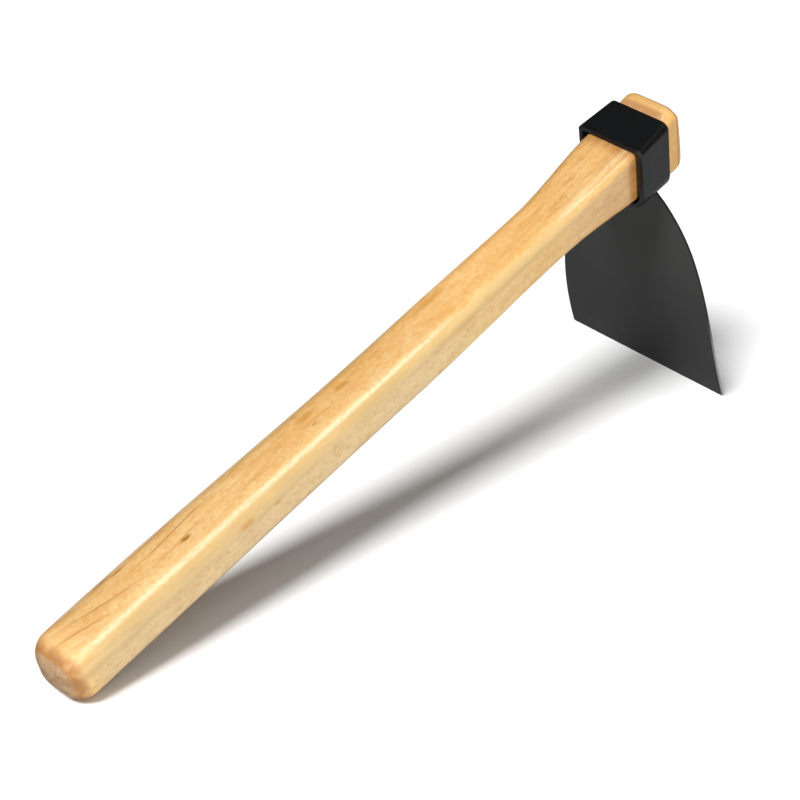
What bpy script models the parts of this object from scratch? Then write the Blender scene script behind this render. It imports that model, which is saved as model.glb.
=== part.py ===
"""Short-handled garden hoe: a varnished hardwood handle held in a strap eye with a welded blade.

Every piece is drawn along the handle: x runs from the butt to the head, y to the left and z up,
away from the blade. At the end the whole tool is leaned until it stands on the butt and on the
cutting edge, the way it rests on a table. Lengths are in metres.
"""

import math

import bmesh
import bpy

# Handle
HANDLE_LENGTH = 0.4148
BUTT_WIDTH = 0.0302
BUTT_HEIGHT = 0.0284
BUTT_DROP = 0.0007
BUTT_CORNER = 0.0100
BUTT_ROUND = 0.0080
BUTT_CROWN = 0.0042
BUTT_RUN = 0.051
MIDDLE_AT = 0.2163
MIDDLE_WIDTH = 0.0263
MIDDLE_HEIGHT = 0.0267
MIDDLE_DROP = 0.0027
NECK_BEHIND_EYE = 0.062
NECK_WIDTH = 0.0249
NECK_HEIGHT = 0.0248
NECK_DROP = 0.0019
NECK_CORNER = 0.0060
EYE_WOOD_CORNER = 0.0035
TIP_SWELL = 0.0005
TIP_RISE = 0.0030
TIP_CORNER = 0.0062
TIP_LOWER_CORNER = 0.0095
SWELL_FROM_EYE = 0.0008
TIP_ROUND = 0.0015
TIP_CROWN = 0.0120

# Eye band: a steel strap bent into a ring that is wider at its mouth and taller at its back
STRAP = 0.0027
BAND_LENGTH = 0.0235
BAND_FROM_TIP = 0.0195
MOUTH_WIDTH = 0.0380
MOUTH_TOP = 0.0175
MOUTH_BOTTOM = 0.0210
MOUTH_TOP_BEND = 0.0024
MOUTH_BOTTOM_BEND = 0.0090
BACK_WIDTH = 0.0352
BACK_TOP = 0.0183
BACK_TOP_BEND = 0.0042
BACK_BOTTOM_BEND = 0.0100
INNER_BEND_LEAST = 0.0006
RIM_BEVEL = 0.0005
SEAM_WIDTH = 0.0030
SEAM_DEPTH = 0.0015

# Blade
BLADE_THICKNESS = 0.0014
BLADE_FROM_MOUTH = 0.0152
NECK_HALF = 0.0140
EDGE_HALF = 0.0493
EDGE_DROP = 0.1515
SHOULDER_RUN = 0.0330
EDGE_CORNER = 0.0016
BLADE_RAKE = 0.0535
CURL = 0.0118
CURL_RUN = 0.0940
GRIND_RUN = 0.0140
EDGE_THICKNESS = 0.0007

# Welds
BEAD_RADIUS = 0.0028
BEAD_STOPS_SHORT = 0.0022

# Clearance between pieces that touch, and the reach of a cutter past what it cuts
FIT = 0.0003
REACH = 0.004

# Facets
CORNER_STEPS = 6
HANDLE_STATIONS = 40
ROUND_STEPS = 5
CROWN_STEPS = 4
BLADE_COLUMNS = 14
BLADE_ROWS = 30
CORNER_ROWS = 4

# Places that follow from the sizes above
BAND_BACK = HANDLE_LENGTH - BAND_FROM_TIP
BAND_MOUTH = BAND_BACK - BAND_LENGTH
NECK_AT = BAND_MOUTH - NECK_BEHIND_EYE
BLADE_AT = BAND_MOUTH + BLADE_FROM_MOUTH
TIP_SHOULDER = HANDLE_LENGTH - TIP_ROUND - TIP_CROWN - FIT


def clear_scene():
    for obj in list(bpy.data.objects):
        bpy.data.objects.remove(obj, do_unlink=True)


def new_collection(name):
    collection = bpy.data.collections.new(name)
    bpy.context.scene.collection.children.link(collection)
    return collection


def new_object(name, mesh, collection):
    obj = bpy.data.objects.new(name, mesh)
    collection.objects.link(obj)
    return obj


def paint(obj, name, colour, roughness, metallic):
    material = bpy.data.materials.new(name)
    material.use_nodes = True
    shader = material.node_tree.nodes["Principled BSDF"]
    shader.inputs["Base Color"].default_value = (*colour, 1.0)
    shader.inputs["Roughness"].default_value = roughness
    shader.inputs["Metallic"].default_value = metallic
    obj.data.materials.append(material)


def mix(a, b, share):
    return a + (b - a) * share


def ease(share):
    share = min(max(share, 0.0), 1.0)
    return share * share * (3.0 - 2.0 * share)


# Cross-sections: each is (width, top, bottom, top corner, bottom corner), with bottom counted down


def outline(section, inset=0.0, least=0.0002):
    """The (y, z) points of a section with round corners, moved inwards by inset."""
    width, top, bottom, top_corner, bottom_corner = section
    half = width / 2 - inset
    top -= inset
    bottom -= inset
    r_top = max(top_corner - inset, least)
    r_bottom = max(bottom_corner - inset, least)
    corners = (
        (half - r_top, top - r_top, r_top, 0.0),
        (r_top - half, top - r_top, r_top, 90.0),
        (r_bottom - half, r_bottom - bottom, r_bottom, 180.0),
        (half - r_bottom, r_bottom - bottom, r_bottom, 270.0),
    )
    points = []
    for y, z, radius, start in corners:
        for step in range(CORNER_STEPS + 1):
            angle = math.radians(start + 90.0 * step / CORNER_STEPS)
            points.append((y + radius * math.cos(angle), z + radius * math.sin(angle)))
    return points


def strap_length(section):
    """The outer length once round a section: its box less what the round corners save."""
    width, top, bottom, top_corner, bottom_corner = section
    return 2 * (width + top + bottom) - (4 - math.pi) * (top_corner + bottom_corner)


MOUTH = (MOUTH_WIDTH, MOUTH_TOP, MOUTH_BOTTOM, MOUTH_TOP_BEND, MOUTH_BOTTOM_BEND)
# One strap makes the whole ring, so the back's height follows from the mouth's length
BACK_BOTTOM = (
    strap_length(MOUTH) + (4 - math.pi) * (BACK_TOP_BEND + BACK_BOTTOM_BEND)
) / 2 - BACK_WIDTH - BACK_TOP
BACK = (BACK_WIDTH, BACK_TOP, BACK_BOTTOM, BACK_TOP_BEND, BACK_BOTTOM_BEND)


def band_section(x):
    """The outside of the eye band at x, carried on in a straight line past both ends."""
    share = (x - BAND_MOUTH) / BAND_LENGTH
    return tuple(mix(a, b, share) for a, b in zip(MOUTH, BACK))


def grip_section(x):
    """The grip at x, as a section: full at the butt, slim at the neck, and set a little low."""
    stations = (
        (BUTT_RUN, BUTT_WIDTH, BUTT_HEIGHT, BUTT_DROP),
        (MIDDLE_AT, MIDDLE_WIDTH, MIDDLE_HEIGHT, MIDDLE_DROP),
        (NECK_AT, NECK_WIDTH, NECK_HEIGHT, NECK_DROP),
    )
    width, height, drop = BUTT_WIDTH, BUTT_HEIGHT, BUTT_DROP
    for (start, *before), (end, *after) in zip(stations, stations[1:]):
        if x > start:
            share = ease((x - start) / (end - start))
            width, height, drop = (mix(a, b, share) for a, b in zip(before, after))
    corner = mix(BUTT_CORNER, NECK_CORNER, ease((x - BUTT_RUN) / (NECK_AT - BUTT_RUN)))
    return width, height / 2 - drop, height / 2 + drop, corner, corner


def wood_section(x):
    """The handle at x: the grip, then a flare that fills the eye's back and stands out past it."""
    flare = ease((x - NECK_AT) / (BAND_MOUTH - NECK_AT))
    eye = band_section(min(x, BAND_BACK))
    # Past the ring the wood isn't squeezed, so it swells above and below the eye
    swell_from = BAND_BACK + SWELL_FROM_EYE
    swell = ease((x - swell_from) / (TIP_SHOULDER - swell_from))
    wall = STRAP + FIT
    eye_wood = (
        BACK_WIDTH - 2 * (wall - TIP_SWELL * swell),
        eye[1] - wall + TIP_RISE * swell,
        eye[2] - wall + TIP_RISE * swell,
        mix(EYE_WOOD_CORNER, TIP_CORNER, swell),
        mix(eye[4] - wall, TIP_LOWER_CORNER, swell),
    )
    return tuple(mix(a, b, flare) for a, b in zip(grip_section(x), eye_wood))


def ring(x, points):
    return [(x, y, z) for y, z in points]


def lofted(name, rings, collection, closed=False):
    """A skin over rings of equal count. Closed joins the last ring to the first, open caps both."""
    shape = bmesh.new()
    loops = [[shape.verts.new(point) for point in loop] for loop in rings]
    pairs = list(zip(loops, loops[1:]))
    if closed:
        pairs.append((loops[-1], loops[0]))
    for first, second in pairs:
        for i in range(len(first)):
            k = (i + 1) % len(first)
            shape.faces.new((first[i], first[k], second[k], second[i]))
    if not closed:
        shape.faces.new(reversed(loops[0]))
        shape.faces.new(loops[-1])
    bmesh.ops.recalc_face_normals(shape, faces=shape.faces)
    mesh = bpy.data.meshes.new(name)
    shape.to_mesh(mesh)
    shape.free()
    mesh.shade_smooth()
    mesh.set_sharp_from_angle(angle=math.radians(35))
    return new_object(name, mesh, collection)


def end_ring(section, inset, share, end, inward, setback, crown):
    """A ring near an end that bulges by crown from its corners to its middle.

    The outline is moved in by inset and shrunk to share, then set back from the bulging end.
    """
    _, top, bottom, _, _ = section
    middle = (top - bottom) / 2
    points = outline(section, inset)
    corner = (section[0] / 2) ** 2 + ((top + bottom) / 2) ** 2
    ring_points = []
    for y, z in points:
        y, z = y * share, mix(middle, z, share)
        bulge = crown * (y * y + (z - middle) ** 2) / corner
        ring_points.append((end + inward * (setback + bulge), y, z))
    return ring_points


def rounded_end(section, end, inward, edge_round, crown):
    """The rings of one end, from its middle out over the rounded edge to the straight side."""
    rings = []
    for step in range(1, CROWN_STEPS):
        share = step / CROWN_STEPS
        rings.append(end_ring(section, edge_round, share, end, inward, 0.0, crown))
    for step in range(ROUND_STEPS + 1):
        angle = math.radians(90.0 * step / ROUND_STEPS)
        inset = edge_round * (1 - math.sin(angle))
        setback = edge_round * (1 - math.cos(angle))
        rings.append(end_ring(section, inset, 1.0, end, inward, setback, crown))
    return rings


def make_handle(collection):
    """One stick of hardwood: crowned butt, slender grip, flared eye part and a crowned tip."""
    start = BUTT_ROUND + BUTT_CROWN + REACH
    rings = rounded_end(wood_section(0.0), 0.0, 1.0, BUTT_ROUND, BUTT_CROWN)
    for step in range(HANDLE_STATIONS + 1):
        # Stations crowd towards the flare, where the section changes fastest
        share = 1 - (1 - step / HANDLE_STATIONS) ** 1.5
        x = mix(start, TIP_SHOULDER, share)
        rings.append(ring(x, outline(wood_section(x))))
    tip = rounded_end(wood_section(TIP_SHOULDER), HANDLE_LENGTH, -1.0, TIP_ROUND, TIP_CROWN)
    rings.extend(reversed(tip))
    handle = lofted("handle", rings, collection)
    paint(handle, "varnished_hardwood", (0.72, 0.42, 0.16), 0.32, 0.0)
    return handle


def band_solid(name, collection, grow, reach):
    """A full block of the band's outer form, used to cut what seats against the band."""
    ends = (BAND_MOUTH - reach, BAND_BACK + reach)
    rings = [ring(x, outline(band_section(x), -grow)) for x in ends]
    return lofted(name, rings, collection)


def hide(cutter):
    cutter.hide_render = True
    cutter.display_type = "WIRE"
    return cutter


def cut(obj, cutter):
    modifier = obj.modifiers.new("cut_" + cutter.name, "BOOLEAN")
    modifier.operation = "DIFFERENCE"
    modifier.solver = "EXACT"
    modifier.object = cutter


def underside_slope():
    return math.atan2(BACK_BOTTOM - MOUTH_BOTTOM, BAND_LENGTH)


def seam_bar(name, collection, width, depth, length):
    """A bar let into the band's sloping underside, its lower face flush with the strap."""
    shape = bmesh.new()
    bmesh.ops.create_cube(shape, size=1.0)
    bmesh.ops.scale(shape, vec=(length, width, depth), verts=shape.verts)
    mesh = bpy.data.meshes.new(name)
    shape.to_mesh(mesh)
    shape.free()
    bar = new_object(name, mesh, collection)
    slope = underside_slope()
    middle = (MOUTH_BOTTOM + BACK_BOTTOM) / 2
    bar.location = (
        (BAND_MOUTH + BAND_BACK) / 2 + math.sin(slope) * depth / 2,
        0.0,
        -middle + math.cos(slope) * depth / 2,
    )
    bar.rotation_euler = (0.0, slope, 0.0)
    return bar


def make_eye_band(collection, cutters):
    """The ring that grips the wood: one strap, bent round and closed along its underside."""
    mouth = band_section(BAND_MOUTH)
    back = band_section(BAND_BACK)
    rings = [
        ring(BAND_MOUTH, outline(mouth)),
        ring(BAND_BACK, outline(back)),
        ring(BAND_BACK, outline(back, STRAP, INNER_BEND_LEAST)),
        ring(BAND_MOUTH, outline(mouth, STRAP, INNER_BEND_LEAST)),
    ]
    band = lofted("eye_band", rings, collection, closed=True)
    bevel = band.modifiers.new("worn_rims", "BEVEL")
    bevel.width = RIM_BEVEL
    bevel.segments = 2
    bevel.limit_method = "ANGLE"
    bevel.angle_limit = math.radians(50)
    groove = hide(seam_bar("seam_groove", cutters, SEAM_WIDTH, 2 * SEAM_DEPTH, BAND_LENGTH + REACH))
    slope = underside_slope()
    groove.location.x -= math.sin(slope) * SEAM_DEPTH
    groove.location.z -= math.cos(slope) * SEAM_DEPTH
    cut(band, groove)
    paint(band, "black_paint_band", (0.012, 0.013, 0.014), 0.30, 0.0)

    # The weld that closes the strap, dressed flush so that the blade can seat over it
    seam = seam_bar(
        "band_seam_weld", collection, SEAM_WIDTH - 2 * FIT, SEAM_DEPTH - FIT, BAND_LENGTH - 2 * RIM_BEVEL
    )
    paint(seam, "black_paint_seam", (0.014, 0.014, 0.015), 0.45, 0.0)
    return band, seam


def blade_half_width(drop, height):
    """Half the blade's width at a drop below its shoulders, with round corners at the edge."""
    fade = math.exp(-height / SHOULDER_RUN)
    left = (math.exp(-drop / SHOULDER_RUN) - fade) / (1 - fade)
    half = EDGE_HALF - (EDGE_HALF - NECK_HALF) * left
    into_corner = drop - (height - EDGE_CORNER)
    if into_corner > 0:
        half -= EDGE_CORNER - math.sqrt(max(EDGE_CORNER**2 - into_corner**2, 0.0))
    return half


def shoulder_drop():
    """How far below the handle's axis the neck's corners meet the band's round underside."""
    section = band_section(BLADE_AT)
    centre_y = section[0] / 2 - section[4]
    centre_z = section[2] - section[4]
    across = min(max(NECK_HALF - centre_y, 0.0), section[4])
    return centre_z + math.sqrt(section[4] ** 2 - across**2)


def make_blade(collection, saddle):
    """A flared steel sheet, raked towards the grip, curled back and ground thin behind its edge."""
    top = shoulder_drop() - REACH
    shoulders = shoulder_drop()
    height = EDGE_DROP - shoulders
    shape = bmesh.new()
    rows = BLADE_ROWS + CORNER_ROWS
    bmesh.ops.create_grid(shape, x_segments=BLADE_COLUMNS, y_segments=rows, size=1.0)
    grind = shape.verts.layers.deform.verify()
    for vert in shape.verts:
        across = vert.co.x
        row = round((1 - vert.co.y) / 2 * rows)
        if row <= BLADE_ROWS:
            below = mix(top, EDGE_DROP - EDGE_CORNER, row / BLADE_ROWS)
        else:
            turn = math.radians(90.0 * (row - BLADE_ROWS) / CORNER_ROWS)
            below = EDGE_DROP - EDGE_CORNER + EDGE_CORNER * math.sin(turn)
        half = blade_half_width(max(below - shoulders, 0.0), height)
        curl = max(below - (EDGE_DROP - CURL_RUN), 0.0) / CURL_RUN
        # The rake starts below the welds, so that they still lie on the flat neck
        rake = BLADE_RAKE * max(below - shoulders - 2 * BEAD_RADIUS, 0.0)
        vert.co = (BLADE_AT - rake + CURL * curl * curl, half * across, -below)
        ground = max(below - (EDGE_DROP - GRIND_RUN), 0.0) / GRIND_RUN
        vert[grind][0] = mix(1.0, EDGE_THICKNESS / BLADE_THICKNESS, ground)
    bmesh.ops.recalc_face_normals(shape, faces=shape.faces)
    if shape.faces[:][0].normal.x > 0:
        bmesh.ops.reverse_faces(shape, faces=shape.faces)
    mesh = bpy.data.meshes.new("blade")
    shape.to_mesh(mesh)
    shape.free()
    mesh.shade_smooth()
    mesh.set_sharp_from_angle(angle=math.radians(35))
    blade = new_object("blade", mesh, collection)
    blade.vertex_groups.new(name="grind")
    sheet = blade.modifiers.new("sheet", "SOLIDIFY")
    sheet.thickness = BLADE_THICKNESS
    sheet.offset = -1.0
    sheet.vertex_group = "grind"
    cut(blade, saddle)
    paint(blade, "black_paint_blade", (0.030, 0.031, 0.033), 0.42, 0.0)
    return blade


def make_weld(name, collection, x, saddle, trim):
    """A fillet weld along the blade's neck, trimmed where it meets the band and the blade."""
    limit = NECK_HALF - BEAD_STOPS_SHORT
    under = [p for p in outline(band_section(x)) if p[1] < 0 and abs(p[0]) < limit]
    under.sort(key=lambda point: point[0])
    path = bpy.data.curves.new(name, "CURVE")
    path.dimensions = "3D"
    path.bevel_depth = BEAD_RADIUS
    path.bevel_resolution = 2
    path.use_fill_caps = True
    spline = path.splines.new("POLY")
    spline.points.add(len(under) - 1)
    for point, (y, z) in zip(spline.points, under):
        point.co = (x, y, z, 1.0)
    rough = new_object(name + "_path", path, collection)
    graph = bpy.context.evaluated_depsgraph_get()
    mesh = bpy.data.meshes.new_from_object(rough.evaluated_get(graph))
    bpy.data.objects.remove(rough, do_unlink=True)
    mesh.name = name
    shape = bmesh.new()
    shape.from_mesh(mesh)
    bmesh.ops.remove_doubles(shape, verts=shape.verts, dist=0.00001)
    bmesh.ops.recalc_face_normals(shape, faces=shape.faces)
    shape.to_mesh(mesh)
    shape.free()
    weld = new_object(name, mesh, collection)
    cut(weld, saddle)
    cut(weld, trim)
    paint(weld, "black_paint_" + name, (0.020, 0.021, 0.022), 0.50, 0.0)
    return weld


def make_weld_trim(name, start, cutters):
    """A block that runs back from start, to trim a weld flat where it lies on the blade."""
    shape = bmesh.new()
    bmesh.ops.create_cube(shape, size=1.0)
    depth = EDGE_DROP / 2
    run = 3 * BEAD_RADIUS
    bmesh.ops.scale(shape, vec=(run, 3 * EDGE_HALF, depth), verts=shape.verts)
    bmesh.ops.translate(shape, vec=(start + run / 2, 0.0, -depth / 2), verts=shape.verts)
    mesh = bpy.data.meshes.new(name)
    shape.to_mesh(mesh)
    shape.free()
    return hide(new_object(name, mesh, cutters))


def finished_points(objects):
    """Every point of the finished pieces, with their modifiers worked out."""
    graph = bpy.context.evaluated_depsgraph_get()
    points = []
    for obj in objects:
        final = obj.evaluated_get(graph)
        mesh = final.to_mesh()
        points.extend(final.matrix_world @ vert.co for vert in mesh.vertices)
        final.to_mesh_clear()
    return points


def stand_up(pieces, cutters):
    """Leans the tool until the butt and the cutting edge rest on z = 0, centred on the origin."""
    bpy.context.view_layer.update()
    points = finished_points(pieces)
    edge = min((p for p in points if p.x > BAND_MOUTH), key=lambda p: p.z)
    butt = [p for p in points if p.x < BUTT_RUN]
    lean = min(math.atan2(p.z - edge.z, edge.x - p.x) for p in butt)
    stand = bpy.data.objects.new("stand", None)
    bpy.context.scene.collection.objects.link(stand)
    for obj in pieces + cutters:
        obj.parent = stand
    stand.rotation_euler = (0.0, -lean, 0.0)
    bpy.context.view_layer.update()
    leaned = finished_points(pieces)
    low, high = min(p.x for p in leaned), max(p.x for p in leaned)
    stand.location = (-(low + high) / 2, 0.0, -min(p.z for p in leaned))
    bpy.context.view_layer.update()
    print("lean in degrees", round(math.degrees(lean), 3), "stand", tuple(stand.location))


def main():
    clear_scene()
    hoe = new_collection("garden_hoe")
    helpers = new_collection("cutters")
    handle = make_handle(hoe)
    band, seam = make_eye_band(hoe, helpers)
    saddle = hide(band_solid("saddle_cutter", helpers, FIT, REACH))
    blade = make_blade(hoe, saddle)
    front_at = BLADE_AT - FIT
    back_at = BLADE_AT + BLADE_THICKNESS + FIT
    front_trim = make_weld_trim("front_trim", front_at, helpers)
    back_trim = make_weld_trim("back_trim", back_at - 3 * BEAD_RADIUS, helpers)
    front = make_weld("neck_weld_front", hoe, front_at, saddle, front_trim)
    back = make_weld("neck_weld_back", hoe, back_at, saddle, back_trim)
    stand_up([handle, band, seam, blade, front, back], list(helpers.objects))


main()
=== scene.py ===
"""A short-handled garden hoe: a varnished hardwood handle and a black steel head."""

import math

import bmesh
import bpy
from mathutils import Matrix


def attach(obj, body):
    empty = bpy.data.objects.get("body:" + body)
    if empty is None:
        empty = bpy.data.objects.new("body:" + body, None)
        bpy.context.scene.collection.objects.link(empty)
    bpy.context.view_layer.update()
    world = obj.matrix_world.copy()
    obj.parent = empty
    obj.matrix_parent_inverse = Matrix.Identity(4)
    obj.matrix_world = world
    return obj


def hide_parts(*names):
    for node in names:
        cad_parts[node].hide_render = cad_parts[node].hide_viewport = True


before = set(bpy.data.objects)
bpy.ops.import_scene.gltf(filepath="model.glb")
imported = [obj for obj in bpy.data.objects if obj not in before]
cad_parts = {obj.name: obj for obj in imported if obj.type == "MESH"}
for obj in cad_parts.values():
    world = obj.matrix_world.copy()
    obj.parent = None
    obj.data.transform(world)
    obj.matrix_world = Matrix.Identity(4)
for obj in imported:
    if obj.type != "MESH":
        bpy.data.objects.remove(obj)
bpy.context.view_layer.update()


# Handle
# One stick of pale beech, cut from a board near the bark, so the growth rings run almost along it.
# It is shaped and sanded with soft corners, flared to jam in the eye, and dipped in honey varnish.

# The tool rests on its butt and its cutting edge, so the grain runs up at this lean
HANDLE_FOOT = (-0.209731, 0.0, 0.011101)
HANDLE_LEAN = math.radians(19.611)

# Stretches of the handle, in metres from its butt, over which something begins or ends
VARNISH_BEGINS = (0.009, 0.022)
RINGS_DIP = (0.000, 0.056)
RINGS_RISE = (0.066, 0.150)
BUTT_ENDS = (0.075, 0.150)
GRIP_SLIMS = (0.040, 0.250)
NECK_BEGINS = (0.205, 0.265)
NECK_ENDS = (0.308, 0.338)
HEAD_DEEPENS = (0.24, 0.40)
FLARE_BEGINS = (0.285, 0.355)
PAINTED_SHADE_ENDS = (0.305, 0.350)
MOUTH_BAND_BEGINS = (0.3640, 0.3714)
MOUTH_BAND_ENDS = (0.3716, 0.3730)
VARNISH_ENDS = (0.378, 0.392)
TIP_BEGINS = (0.386, 0.392)
TIP_LINE = 0.4052

# And places across it from its middle plane, where the left is above zero
# Painted shade along the left of the top, from the middle plane out
LEFT_SHADE_ACROSS = (0.000, 0.014)
TOP_ENDS = (-0.0075, -0.0045)
# Where a painted highlight runs along the ridge, partly also hands' wear
HIGHLIGHT_EDGE = -0.0103
# Painted shade below the ridge
PAINTED_SHADE_ACROSS = (-0.0122, -0.0109)
BARK_SIDE = (-0.0128, -0.0112)
RIGHT_SIDE = (-0.014, -0.009)

# The pith lies beside the stick and a little out of line with it
PITH = (0, 0.052, 0.006)
PITH_TURN = math.radians(-0.7)
RING_SCALE = 60.0
RING_PHASE = 0.94
RINGS_WAVER = 0.012
RINGS_DIP_BY = 0.0100
RINGS_RISE_BY = -0.0078

# Colours of the varnished wood, as the light of a white room shows them
WOOD_PALE = (0.81, 0.550, 0.250, 1.0)
WOOD_HONEY = (0.765, 0.462, 0.178, 1.0)
WOOD_AMBER = (0.65, 0.325, 0.082, 1.0)
WOOD_STAIN = (0.57, 0.270, 0.055, 1.0)
WOOD_LINE = (0.38, 0.160, 0.042, 1.0)
WOOD_FLECK = (0.20, 0.080, 0.025, 1.0)
# A pale colour, partly hands' wear and partly a painted highlight along the ridge
WOOD_RUBBED_HIGHLIGHT = (0.83, 0.625, 0.350, 1.0)
SIDE_PALE = (0.82, 0.585, 0.265, 1.0)
SIDE_TAN = (0.60, 0.365, 0.125, 1.0)
# A tan for the painted shade under the ridge
SIDE_PAINTED_SHADE = (0.61, 0.415, 0.180, 1.0)
END_GRAIN = (0.49, 0.320, 0.175, 1.0)
END_DARK = (0.32, 0.175, 0.080, 1.0)

# Pin knots, bark specks and smudges: place on the skin of the stick, half length along the grain,
# half width across it, and darkness
MARKS = (
    ((0.0783, -0.0029, 0.0133), 0.0042, 0.0013, 0.85),
    ((0.0445, 0.0130, 0.0098), 0.0026, 0.0022, 1.00),
    ((0.0330, 0.0116, 0.0111), 0.0065, 0.0010, 0.70),
    ((0.0410, 0.0100, 0.0122), 0.0065, 0.0010, 0.80),
    ((0.0490, 0.0083, 0.0130), 0.0055, 0.0010, 0.60),
    ((0.0036, 0.0085, 0.0100), 0.0016, 0.0022, 0.80),
    ((0.0030, 0.0020, 0.0112), 0.0012, 0.0020, 0.60),
    ((0.1028, -0.0146, 0.0062), 0.0062, 0.0022, 0.52),
    ((0.1207, -0.0144, 0.0032), 0.0032, 0.0013, 0.48),
    ((0.2527, -0.0129, 0.0091), 0.0048, 0.0015, 0.62),
    ((0.2642, -0.0128, 0.0069), 0.0030, 0.0012, 0.36),
    ((0.1589, 0.0035, 0.0114), 0.0080, 0.0024, 0.45),
    ((0.1822, 0.0029, 0.0110), 0.0060, 0.0020, 0.55),
    ((0.2442, 0.0058, 0.0106), 0.0160, 0.0024, 0.45),
    ((0.0386, -0.0151, 0.0112), 0.0220, 0.0028, 0.34),
    ((0.0080, -0.0135, 0.0095), 0.0110, 0.0024, 0.26),
    ((0.3560, 0.0020, 0.0150), 0.0100, 0.0016, 0.40),
    ((0.3420, 0.0060, 0.0140), 0.0130, 0.0014, 0.36),
    ((0.3680, -0.0040, 0.0170), 0.0060, 0.0010, 0.30),
    ((0.4020, 0.0060, 0.0190), 0.0040, 0.0012, 0.34),
    ((0.4060, -0.0190, 0.0060), 0.0010, 0.0090, 0.34),
    ((0.0365, -0.0151, 0.0077), 0.0055, 0.0020, 0.30),
    ((0.1527, -0.0138, 0.0081), 0.0100, 0.0019, 0.28),
    ((0.2456, -0.0130, 0.0042), 0.0110, 0.0038, 0.22),
)


# The CAD's corners are merged within this gap, and its triangles joined where they are this flat
MERGE_GAP = 0.000004
FLAT_WITHIN = math.radians(6.0)
ANY_SHAPE_WITHIN = math.radians(150.0)


def clean_copy(node, name, crease):
    """Stands for a CAD node: its loose triangles merged into one skin that shades smoothly."""
    shape = bmesh.new()
    shape.from_mesh(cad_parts[node].data)
    bmesh.ops.remove_doubles(shape, verts=shape.verts, dist=MERGE_GAP)
    bmesh.ops.join_triangles(
        shape,
        faces=shape.faces,
        angle_face_threshold=FLAT_WITHIN,
        angle_shape_threshold=ANY_SHAPE_WITHIN,
    )
    mesh = bpy.data.meshes.new(name)
    shape.to_mesh(mesh)
    shape.free()
    mesh.shade_smooth()
    mesh.set_sharp_from_angle(angle=math.radians(crease))
    piece = bpy.data.objects.new(name, mesh)
    bpy.context.scene.collection.objects.link(piece)
    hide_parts(node)
    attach(piece, "root")
    return piece


def new_material(name, piece):
    """An empty material on the piece: its node tree and its shader."""
    material = bpy.data.materials.new(name)
    material.use_nodes = True
    piece.data.materials.clear()
    piece.data.materials.append(material)
    tree = material.node_tree
    return tree, tree.nodes["Principled BSDF"]


def feed(tree, socket, value):
    """Gives a socket a plain value, or a link where the value is another node's output."""
    if isinstance(value, bpy.types.NodeSocket):
        tree.links.new(value, socket)
    else:
        socket.default_value = value


def calc(tree, operation, *values):
    made = tree.nodes.new("ShaderNodeMath")
    made.operation = operation
    for socket, value in zip(made.inputs, values):
        feed(tree, socket, value)
    return made.outputs["Value"]


def times(tree, first, *others):
    """All the values multiplied together."""
    for other in others:
        first = calc(tree, "MULTIPLY", first, other)
    return first


def plus(tree, first, *others):
    """All the values added up."""
    for other in others:
        first = calc(tree, "ADD", first, other)
    return first


def vector_calc(tree, operation, *vectors):
    made = tree.nodes.new("ShaderNodeVectorMath")
    made.operation = operation
    for socket, vector in zip(made.inputs, vectors):
        feed(tree, socket, vector)
    return made.outputs["Value" if operation == "LENGTH" else "Vector"]


def move(tree, vector, kind="POINT", at=(0, 0, 0), turn=(0, 0, 0), scale=(1, 1, 1)):
    made = tree.nodes.new("ShaderNodeMapping")
    made.vector_type = kind
    feed(tree, made.inputs["Vector"], vector)
    made.inputs["Location"].default_value = at
    made.inputs["Rotation"].default_value = turn
    made.inputs["Scale"].default_value = scale
    return made.outputs["Vector"]


def cloud(tree, vector, scale, detail=2.0, roughness=0.5):
    """Smooth noise between 0 and 1, mostly near a half."""
    made = tree.nodes.new("ShaderNodeTexNoise")
    feed(tree, made.inputs["Vector"], vector)
    made.inputs["Scale"].default_value = scale
    made.inputs["Detail"].default_value = detail
    made.inputs["Roughness"].default_value = roughness
    return made.outputs["Fac"]


def drawn_out(tree, vector, along, over, detail, roughness=0.5, turn=0.0, at=(0, 0, 0)):
    """Noise with one scale along the handle and another across it, turned by some degrees."""
    placed = move(
        tree, vector, at=at, turn=(0, 0, math.radians(turn)), scale=(along, over, over)
    )
    return cloud(tree, placed, 1.0, detail, roughness)


def cells(tree, vector, scale):
    """Scattered points: the distance to the nearest one, and a random share of its own."""
    made = tree.nodes.new("ShaderNodeTexVoronoi")
    made.feature = "F1"
    feed(tree, made.inputs["Vector"], vector)
    made.inputs["Scale"].default_value = scale
    share, _, _ = parts(tree, made.outputs["Color"])
    return made.outputs["Distance"], share


def span(tree, value, low, high, start=0.0, end=1.0):
    """Start where the value is low, end where it is high, and a soft change between."""
    made = tree.nodes.new("ShaderNodeMapRange")
    made.interpolation_type = "SMOOTHSTEP"
    feed(tree, made.inputs["Value"], value)
    made.inputs["From Min"].default_value = low
    made.inputs["From Max"].default_value = high
    made.inputs["To Min"].default_value = start
    made.inputs["To Max"].default_value = end
    return made.outputs["Result"]


def near(tree, value, place, reach):
    """1 where the value is at the place, falling to 0 at reach from it."""
    gap = calc(tree, "ABSOLUTE", calc(tree, "SUBTRACT", value, place))
    return span(tree, gap, 0.0, reach, 1.0, 0.0)


def tint(tree, share, first, second):
    """The first colour where share is 0 and the second where it is 1."""
    made = tree.nodes.new("ShaderNodeMix")
    made.data_type = "RGBA"
    feed(tree, made.inputs["Factor"], share)
    feed(tree, made.inputs[6], first)
    feed(tree, made.inputs[7], second)
    return made.outputs[2]


def overlay(tree, colour, *coats):
    """Lays more colours over the first one. Each coat is its share and its colour."""
    for share, coat in coats:
        colour = tint(tree, share, colour, coat)
    return colour


def raise_bump(tree, height, strength, distance, under=None):
    """A normal that shows the height, laid over another one where under is given."""
    made = tree.nodes.new("ShaderNodeBump")
    made.inputs["Strength"].default_value = strength
    made.inputs["Distance"].default_value = distance
    feed(tree, made.inputs["Height"], height)
    if under is not None:
        feed(tree, made.inputs["Normal"], under)
    return made.outputs["Normal"]


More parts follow.
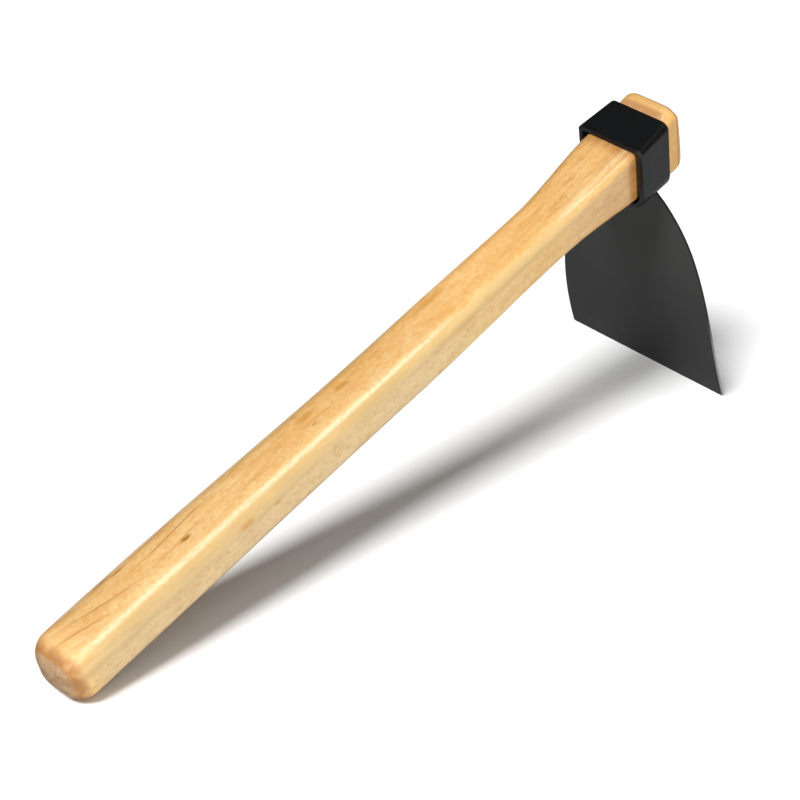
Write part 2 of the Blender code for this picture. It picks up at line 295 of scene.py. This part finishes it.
def parts(tree, vector):
    made = tree.nodes.new("ShaderNodeSeparateXYZ")
    feed(tree, made.inputs["Vector"], vector)
    return made.outputs["X"], made.outputs["Y"], made.outputs["Z"]


def along_handle(tree):
    """Object coordinates turned to run along the handle: x from the butt, y left and z up."""
    place = tree.nodes.new("ShaderNodeTexCoord")
    return move(tree, place.outputs["Object"], "TEXTURE", HANDLE_FOOT, (0, -HANDLE_LEAN, 0))


def dashes(tree, vector, crowd, size, low, high):
    """Short dark marks along the grain: one for each chosen cell, low and high say how few."""
    crowded = move(tree, vector, turn=(0, 0, math.radians(3.0)), scale=crowd)
    distance, share = cells(tree, crowded, 1.0)
    mark = span(tree, distance, size * 0.3, size, 1.0, 0.0)
    return times(tree, mark, span(tree, share, low, high))


handle = clean_copy("handle", "handle_wood", 40)
rounding = handle.modifiers.new("sanded", "SUBSURF")
rounding.levels = 2
rounding.render_levels = 2

tree, wood = new_material("honey_varnished_beech", handle)
grain = along_handle(tree)
length, across, up = parts(tree, grain)

# The grip slims towards the neck, and slimmer is the place across it in butt-end measure
slimmer = times(tree, across, span(tree, length, *GRIP_SLIMS, 1.0, 1.17))
bark_side = span(tree, slimmer, *BARK_SIDE, 1.0, 0.0)

# Growth rings: shells round the pith, so they run along the top as lines and lie flat on the side.
# They dip where the trunk had a knot near by.
waver = times(tree, drawn_out(tree, grain, 8, 24, 2.0), RINGS_WAVER)
valley = times(tree, span(tree, length, *RINGS_DIP), RINGS_DIP_BY)
rise = times(tree, span(tree, length, *RINGS_RISE), RINGS_RISE_BY)
pushed = tree.nodes.new("ShaderNodeCombineXYZ")
feed(tree, pushed.inputs["Y"], plus(tree, waver, valley, rise))
bent_grain = vector_calc(tree, "ADD", grain, pushed.outputs["Vector"])
rings = tree.nodes.new("ShaderNodeTexWave")
rings.wave_type = "RINGS"
rings.rings_direction = "X"
rings.wave_profile = "SAW"
feed(tree, rings.inputs["Vector"], move(tree, bent_grain, at=PITH, turn=(0, 0, PITH_TURN)))
rings.inputs["Scale"].default_value = RING_SCALE
rings.inputs["Phase Offset"].default_value = RING_PHASE
ring = rings.outputs["Fac"]
ring_closes = span(tree, ring, 0.94, 1.0, 1.0, 0.0)
late = times(tree, span(tree, ring, 0.30, 0.90), ring_closes)
thin_line = times(tree, span(tree, ring, 0.76, 0.93), ring_closes)
broken = span(tree, drawn_out(tree, grain, 26, 90, 3.0), 0.36, 0.56)
near_butt = span(tree, length, *BUTT_ENDS, 1.0, 0.15)
on_top = span(tree, across, *TOP_ENDS)
lines = times(tree, thin_line, broken, near_butt, on_top)

# Mottling, smoky streaks, fibres and grit, and slower blotches and drifts of colour
mottle = drawn_out(tree, grain, 90, 210, 5.0, 0.72)
smoke = drawn_out(tree, grain, 34, 170, 5.0, 0.66, turn=4.0)
fibre = drawn_out(tree, grain, 90, 1100, 4.0, 0.65, turn=2.0)
grit = drawn_out(tree, grain, 420, 620, 3.0, 0.6)
blotch = drawn_out(tree, grain, 34, 150, 4.0, 0.6, at=(0.3, 0.1, 0.2))
drift = drawn_out(tree, grain, 11, 50, 2.0)
pore = times(tree, dashes(tree, grain, (420, 1700, 1700), 0.34, 0.45, 0.95), 0.30)
speck = dashes(tree, grain, (44, 190, 190), 0.12, 0.90, 0.96)
fleck = calc(tree, "MAXIMUM", pore, speck)

# The marks, with frayed outlines
frayed = tree.nodes.new("ShaderNodeTexNoise")
feed(tree, frayed.inputs["Vector"], grain)
frayed.inputs["Scale"].default_value = 350.0
frayed.inputs["Detail"].default_value = 3.0
fray = move(
    tree, frayed.outputs["Color"], at=(-0.0020, -0.0008, -0.0008), scale=(0.0040, 0.0016, 0.0016)
)
frayed_grain = vector_calc(tree, "ADD", grain, fray)
stain = 0.0
for (x, y, z), run, reach, dark in MARKS:
    from_mark = move(
        tree,
        frayed_grain,
        at=(-x / run, -y / reach, -z / reach),
        scale=(1 / run, 1 / reach, 1 / reach),
    )
    away = vector_calc(tree, "LENGTH", from_mark)
    stain = calc(tree, "MAXIMUM", stain, span(tree, away, 0.15, 1.25, dark, 0.0))

# The wood is deeper towards the head, darker along the left of the top with painted shade where it
# rounds away from the light, and smoky on the flare
toward_head = span(tree, length, *HEAD_DEEPENS)
left_painted_shade = times(tree, span(tree, across, *LEFT_SHADE_ACROSS), span(tree, up, 0.004, 0.012))
flare = times(tree, span(tree, length, *FLARE_BEGINS), span(tree, smoke, 0.44, 0.64, 0.0, 0.55))
# A pale band along the right edge of the grip, partly hands' wear and partly a painted highlight
# along the ridge, fading out over the neck
on_neck = times(tree, span(tree, length, *NECK_BEGINS), span(tree, length, *NECK_ENDS, 1.0, 0.0))
rubbed = times(
    tree,
    near(tree, slimmer, HIGHLIGHT_EDGE, 0.0030),
    span(tree, up, 0.003, 0.007),
    span(tree, on_neck, 0.0, 1.0, 0.60, 0.0),
)
# Under that edge lies a painted shade, tan, which fades out on the flare
painted_edge_shade = times(
    tree,
    span(tree, slimmer, *PAINTED_SHADE_ACROSS, 1.0, 0.0),
    span(tree, up, 0.001, 0.0065),
    span(tree, length, *PAINTED_SHADE_ENDS, 1.0, 0.1),
    span(tree, blotch, 0.34, 0.60, 0.70, 1.0),
)
# The tip is deeper, with a brown line down its right side
tip = span(tree, length, *TIP_BEGINS)
right_side = span(tree, across, *RIGHT_SIDE, 0.85, 0.0)
tip_line = times(tree, near(tree, length, TIP_LINE, 0.0009), right_side)
# The wood is darker in a thin band where it goes into the ring
mouth_band = times(
    tree,
    span(tree, length, *MOUTH_BAND_BEGINS),
    span(tree, blotch, 0.30, 0.60, 0.25, 0.75),
    span(tree, length, *MOUTH_BAND_ENDS, 1.0, 0.0),
)

# The top, then the side towards the bark, which shows the rings' layers flat and has no lines,
# and then the fine work over both
top = overlay(
    tree,
    tint(tree, span(tree, mottle, 0.36, 0.62), WOOD_PALE, WOOD_HONEY),
    (span(tree, drift, 0.42, 0.68, 0.0, 0.45), WOOD_AMBER),
    (times(tree, left_painted_shade, 0.26), WOOD_AMBER),
    (times(tree, toward_head, 0.50), WOOD_AMBER),
    (flare, WOOD_LINE),
    (span(tree, smoke, 0.48, 0.70, 0.0, 0.66), WOOD_AMBER),
    (times(tree, late, near_butt, 0.26), WOOD_AMBER),
)
side = overlay(
    tree,
    tint(tree, span(tree, mottle, 0.44, 0.70, 0.0, 0.60), SIDE_PALE, SIDE_TAN),
    (times(tree, toward_head, 0.80), WOOD_AMBER),
    (times(tree, flare, 0.6), WOOD_LINE),
)
colour = overlay(
    tree,
    tint(tree, times(tree, bark_side, 0.90), top, side),
    (rubbed, WOOD_RUBBED_HIGHLIGHT),
    (times(tree, lines, 0.74), WOOD_LINE),
    (span(tree, fibre, 0.52, 0.74, 0.0, 0.30), WOOD_LINE),
    (span(tree, fibre, 0.30, 0.46, 0.25, 0.0), WOOD_PALE),
    (span(tree, grit, 0.50, 0.70, 0.0, 0.60), WOOD_AMBER),
    (span(tree, grit, 0.28, 0.48, 0.50, 0.0), WOOD_PALE),
    (span(tree, blotch, 0.52, 0.70, 0.0, 0.42), WOOD_AMBER),
    (painted_edge_shade, SIDE_PAINTED_SHADE),
    (times(tree, tip, 0.60), SIDE_TAN),
    (tip_line, WOOD_LINE),
    (times(tree, fleck, 0.60), WOOD_FLECK),
    (span(tree, stain, 0.0, 0.55, 0.0, 0.9), WOOD_STAIN),
    (span(tree, stain, 0.40, 1.0, 0.0, 0.85), WOOD_FLECK),
    (mouth_band, WOOD_LINE),
)

# End grain on the two ends: pores instead of flecks, greyer, inside a brown line where the sanded
# end meets its rounded rim, and the rim itself browned by the varnish that it soaked up
facing = tree.nodes.new("ShaderNodeTexCoord")
normal_on_grain = move(tree, facing.outputs["Normal"], "TEXTURE", turn=(0, -HANDLE_LEAN, 0))
end_on, _, _ = parts(tree, normal_on_grain)
end_on = calc(tree, "ABSOLUTE", end_on)
end_mask = span(tree, end_on, 0.72, 0.82)
soaked = span(tree, drawn_out(tree, grain, 200, 200, 3.0), 0.30, 0.62, 0.45, 1.0)
end_rim = times(tree, span(tree, end_on, 0.10, 0.66), soaked)
end_line = times(
    tree, span(tree, end_on, 0.48, 0.70), span(tree, end_on, 0.70, 0.84, 1.0, 0.0), soaked
)
end_blotch = drawn_out(tree, grain, 200, 330, 4.0, 0.65)
from_pore, _ = cells(tree, move(tree, grain, scale=(60, 1300, 1300)), 1.0)
end_colour = overlay(
    tree,
    tint(tree, times(tree, late, 0.18), END_GRAIN, END_DARK),
    (span(tree, end_blotch, 0.40, 0.66, 0.0, 0.75), END_DARK),
    (span(tree, from_pore, 0.15, 0.42, 0.40, 0.0), END_DARK),
)
colour = overlay(
    tree,
    colour,
    (times(tree, end_rim, 0.70), WOOD_AMBER),
    (times(tree, end_rim, 0.72), WOOD_LINE),
    (times(tree, end_rim, 0.35), END_DARK),
    (end_mask, end_colour),
    (times(tree, end_line, 0.50), WOOD_LINE),
)
feed(tree, wood.inputs["Base Color"], colour)

# The varnish is thin on the rims and on the tip, and dulled by hands over the neck
worn = span(tree, drawn_out(tree, grain, 30, 90, 3.0), 0.3, 0.7, 0.40, 0.52)
rough_rims = span(tree, end_on, 0.02, 0.20, 0.0, 0.22)
feed(tree, wood.inputs["Roughness"], plus(tree, worn, rough_rims))
gloss = times(
    tree,
    span(tree, length, *VARNISH_BEGINS),
    span(tree, on_neck, 0.0, 1.0, 1.0, 0.15),
    span(tree, length, *VARNISH_ENDS, 1.0, 0.05),
)
feed(tree, wood.inputs["Coat Weight"], gloss)
wood.inputs["Coat Roughness"].default_value = 0.15
wood.inputs["Coat IOR"].default_value = 1.85
hand_sanding = raise_bump(tree, drawn_out(tree, grain, 26, 90, 2.0), 0.25, 0.0008)
pores_down = calc(tree, "SUBTRACT", fibre, times(tree, fleck, 0.8))
feed(tree, wood.inputs["Normal"], raise_bump(tree, pores_down, 0.22, 0.0002, hand_sanding))


# Eye band
# One steel strap 2.7 mm thick, bent hot round a mandrel into a tapering ring, welded shut and
# painted gloss black. It goes on over the butt and is driven up until it jams on the flare.

BAND_BACK = 0.3953
BAND_MOUTH = 0.3718
RIM_WIDTH = 0.0007
PAINT_BLACK = (0.0058, 0.0060, 0.0064, 1.0)
PAINT_RUBBED = (0.060, 0.060, 0.064, 1.0)


def make_paint_skin():
    """Brushed or dipped paint: orange peel and dust nibs as a height, light scuffs, and a haze."""
    group = bpy.data.node_groups.new("paint_skin", "ShaderNodeTree")
    group.interface.new_socket("Vector", in_out="INPUT", socket_type="NodeSocketVector")
    group.interface.new_socket("Height", in_out="OUTPUT", socket_type="NodeSocketFloat")
    group.interface.new_socket("Scuffs", in_out="OUTPUT", socket_type="NodeSocketFloat")
    group.interface.new_socket("Haze", in_out="OUTPUT", socket_type="NodeSocketFloat")
    start = group.nodes.new("NodeGroupInput")
    end = group.nodes.new("NodeGroupOutput")
    place = start.outputs["Vector"]
    peel = cloud(group, place, 900.0)
    waves = cloud(group, place, 160.0)
    from_nib, share = cells(group, place, 420.0)
    nib = times(
        group, span(group, from_nib, 0.04, 0.16, 1.0, 0.0), span(group, share, 0.90, 0.93)
    )
    height = plus(
        group, times(group, waves, 1.4), times(group, peel, 0.35), times(group, nib, 0.5)
    )
    brushed = move(group, place, turn=(0.3, 0.9, 0.5), scale=(2200, 2200, 45))
    scratch = cloud(group, brushed, 1.0)
    patch = cloud(group, place, 70.0, 3.0)
    scuffs = times(group, span(group, scratch, 0.60, 0.70), span(group, patch, 0.52, 0.70))
    feed(group, end.inputs["Height"], height)
    feed(group, end.inputs["Scuffs"], scuffs)
    feed(group, end.inputs["Haze"], cloud(group, place, 38.0, 3.0))
    return group


paint_skin = make_paint_skin()


def lay_paint(tree, vector):
    """The paint's height, scuffs and haze at this place."""
    made = tree.nodes.new("ShaderNodeGroup")
    made.node_tree = paint_skin
    feed(tree, made.inputs["Vector"], vector)
    return made.outputs["Height"], made.outputs["Scuffs"], made.outputs["Haze"]


def keep_flat(piece):
    """Keeps the flat sides flat up to the rounded bends."""
    flat_sides = piece.modifiers.new("true_sides", "WEIGHTED_NORMAL")
    flat_sides.keep_sharp = True


band = clean_copy("eye_band", "eye_band_steel", 40)
keep_flat(band)

tree, paint = new_material("gloss_black_strap_paint", band)
steel = along_handle(tree)
length, _, _ = parts(tree, steel)
height, scuffs, haze = lay_paint(tree, steel)
# The rims are lighter: partly paint rubbed thin, partly a painted highlight along their edges
rims = calc(
    tree,
    "MAXIMUM",
    near(tree, length, BAND_MOUTH, RIM_WIDTH),
    near(tree, length, BAND_BACK, RIM_WIDTH),
)
rims = times(tree, rims, span(tree, haze, 0.42, 0.60))
rubbed = calc(tree, "MAXIMUM", times(tree, rims, 0.6), times(tree, scuffs, 0.35))
feed(tree, paint.inputs["Base Color"], tint(tree, rubbed, PAINT_BLACK, PAINT_RUBBED))
smooth = span(tree, haze, 0.3, 0.7, 0.26, 0.36)
feed(tree, paint.inputs["Roughness"], plus(tree, smooth, times(tree, rubbed, 0.3)))
paint.inputs["Specular IOR Level"].default_value = 0.20
feed(tree, paint.inputs["Normal"], raise_bump(tree, height, 0.30, 0.0003))


# Band seam weld
# The weld that closes the strap along the middle of its underside, steel like the strap.
# It was ground flush so that the blade could seat over it, and painted with the ring.

seam = clean_copy("band_seam_weld", "band_seam_weld_steel", 40)

tree, paint = new_material("dressed_seam_paint", seam)
steel = along_handle(tree)
height, _, haze = lay_paint(tree, steel)
grinding = drawn_out(tree, steel, 2400, 60, 2.0)
ground_off = span(tree, grinding, 0.55, 0.8, 0.0, 0.5)
feed(tree, paint.inputs["Base Color"], tint(tree, ground_off, PAINT_BLACK, PAINT_RUBBED))
feed(tree, paint.inputs["Roughness"], span(tree, haze, 0.3, 0.7, 0.34, 0.50))
feed(tree, paint.inputs["Normal"], raise_bump(tree, plus(tree, height, grinding), 0.4, 0.0003))


# Blade
# A flared steel plate 1.4 mm thick, cut out of sheet, curled a little at its foot and ground thin
# behind the cutting edge. It stands on edge under the ring and wears semi-gloss black paint.

# How far the cutting edge lies below the handle's line, and how high the wear goes up from it
EDGE_DROP = -0.1515
EDGE_WEAR = 0.0022
BLADE_BLACK = (0.0410, 0.0428, 0.0420, 1.0)
BLADE_NECKWARD_GREY = (0.0900, 0.0920, 0.0880, 1.0)
# A pale grey for the painted highlight on the sheet's edge
EDGE_HIGHLIGHT_GREY = (0.30, 0.30, 0.29, 1.0)

blade = clean_copy("blade", "blade_steel", 40)
keep_flat(blade)

tree, paint = new_material("semi_gloss_blade_paint", blade)
steel = along_handle(tree)
_, across, up = parts(tree, steel)
height, scuffs, haze = lay_paint(tree, steel)
# The sheet's own edge, which shows at the blade's sides, and how far a painted highlight runs up
# it from the foot
facing = tree.nodes.new("ShaderNodeTexCoord")
_, sideways, _ = parts(tree, facing.outputs["Normal"])
sheet_edge = span(tree, calc(tree, "ABSOLUTE", sideways), 0.45, 0.75)
edge_painted_highlight = times(tree, sheet_edge, span(tree, up, -0.125, -0.085, 0.9, 0.0))
# The paint is darker to the left and lighter towards the neck; the sheet's edge is darkened with
# painted shade, and lightened towards the foot with a painted highlight
skin = overlay(
    tree,
    BLADE_BLACK,
    (span(tree, across, 0.000, 0.046, 0.0, 0.42), PAINT_BLACK),
    (span(tree, up, -0.150, -0.030, 0.0, 0.20), BLADE_NECKWARD_GREY),
    (times(tree, sheet_edge, 0.8), PAINT_BLACK),
    (edge_painted_highlight, EDGE_HIGHLIGHT_GREY),
)
# The ground edge is rubbed by the soil
at_edge = span(tree, up, EDGE_DROP, EDGE_DROP + EDGE_WEAR, 1.0, 0.0)
at_edge = times(tree, at_edge, span(tree, haze, 0.40, 0.58))
rubbed = calc(tree, "MAXIMUM", times(tree, at_edge, 0.8), times(tree, scuffs, 0.30))
feed(tree, paint.inputs["Base Color"], tint(tree, rubbed, skin, PAINT_RUBBED))
smooth = span(tree, haze, 0.3, 0.7, 0.42, 0.52)
feed(tree, paint.inputs["Roughness"], plus(tree, smooth, times(tree, rubbed, 0.2)))
paint.inputs["Specular IOR Level"].default_value = 0.14
sheet_waves = raise_bump(tree, cloud(tree, steel, 28.0, 1.0), 0.25, 0.0016)
feed(tree, paint.inputs["Normal"], raise_bump(tree, height, 0.22, 0.0003, sheet_waves))


# Neck welds
# Two beads of weld along the top of the blade, one on each side, join it to the ring's underside.
# They were run by hand from side to side, so they are rippled, and the paint lies thick in them.

for name in ("neck_weld_front", "neck_weld_back"):
    weld = clean_copy(name, name + "_steel", 50)
    tree, paint = new_material(name + "_paint", weld)
    steel = along_handle(tree)
    height, _, haze = lay_paint(tree, steel)
    ripples = tree.nodes.new("ShaderNodeTexWave")
    ripples.bands_direction = "Y"
    feed(tree, ripples.inputs["Vector"], steel)
    ripples.inputs["Scale"].default_value = 210.0
    ripples.inputs["Distortion"].default_value = 1.5
    ripples.inputs["Detail Scale"].default_value = 1.5
    ripple = ripples.outputs["Fac"]
    crests = span(tree, ripple, 0.6, 1.0, 0.0, 0.3)
    feed(tree, paint.inputs["Base Color"], tint(tree, crests, PAINT_BLACK, PAINT_RUBBED))
    feed(tree, paint.inputs["Roughness"], span(tree, haze, 0.3, 0.7, 0.30, 0.45))
    bead = plus(tree, times(tree, ripple, 1.2), height)
    feed(tree, paint.inputs["Normal"], raise_bump(tree, bead, 0.6, 0.0005))


# Studio
# A white floor in a dim room. A small soft lamp hangs overhead, the strongest one shines over the
# butt, and a low one beside the camera fills in the side of the grip.

FLOOR_RADIUS = 12.0
WHITE = (1.0, 1.0, 1.0, 1.0)
# What the floor and the room give back to the tool, where the camera sees plain white
FLOOR_GREY = (0.45, 0.45, 0.45, 1.0)
ROOM_DIM = (0.012, 0.012, 0.012, 1.0)


def seen_or_not(tree, unseen):
    """White for the camera, and the other colour for all other rays."""
    ray = tree.nodes.new("ShaderNodeLightPath")
    return tint(tree, ray.outputs["Is Camera Ray"], unseen, WHITE)


def hang_lamp(name, toward, strength, wide):
    """A lamp far off in the direction toward, as wide in degrees as it looks from the tool."""
    data = bpy.data.lights.new(name, "SUN")
    data.energy = strength
    data.angle = math.radians(wide)
    lamp = bpy.data.objects.new(name, data)
    x, y, z = toward
    tilt = math.acos(z / math.sqrt(x * x + y * y + z * z))
    lamp.rotation_euler = (tilt, 0.0, math.atan2(y, x) + math.pi / 2)
    bpy.context.scene.collection.objects.link(lamp)


shape = bmesh.new()
bmesh.ops.create_circle(shape, cap_ends=True, segments=64, radius=FLOOR_RADIUS)
mesh = bpy.data.meshes.new("floor")
shape.to_mesh(mesh)
shape.free()
floor = bpy.data.objects.new("floor", mesh)
bpy.context.scene.collection.objects.link(floor)

tree, ground = new_material("white_floor", floor)
feed(tree, ground.inputs["Base Color"], seen_or_not(tree, FLOOR_GREY))
ground.inputs["Roughness"].default_value = 1.0
ground.inputs["Specular IOR Level"].default_value = 0.0

world = bpy.data.worlds.new("dim_white_room")
bpy.context.scene.world = world
world.use_nodes = True
backdrop = world.node_tree.nodes["Background"]
feed(world.node_tree, backdrop.inputs["Strength"], seen_or_not(world.node_tree, ROOM_DIM))
backdrop.inputs["Color"].default_value = WHITE

hang_lamp("overhead_softbox", (0.11, -0.37, 0.92), 0.32, 28)
hang_lamp("butt_end_key", (-0.57, 0.02, 0.82), 3.75, 17)
hang_lamp("side_fill", (-0.30, -0.95, 0.02), 4.25, 26)

# Seen from above the right side of the butt, through a long lens
lens = bpy.data.cameras.new("camera")
lens.sensor_width = 36.0
lens.lens = 97.564
camera = bpy.data.objects.new("camera", lens)
camera.location = (-0.66813, -0.50359, 0.59151)
camera.rotation_euler = (math.radians(57.3041), math.radians(-6.3442), math.radians(-48.843))
bpy.context.scene.collection.objects.link(camera)
bpy.context.scene.camera = camera
bpy.context.scene.view_settings.view_transform = "Standard"
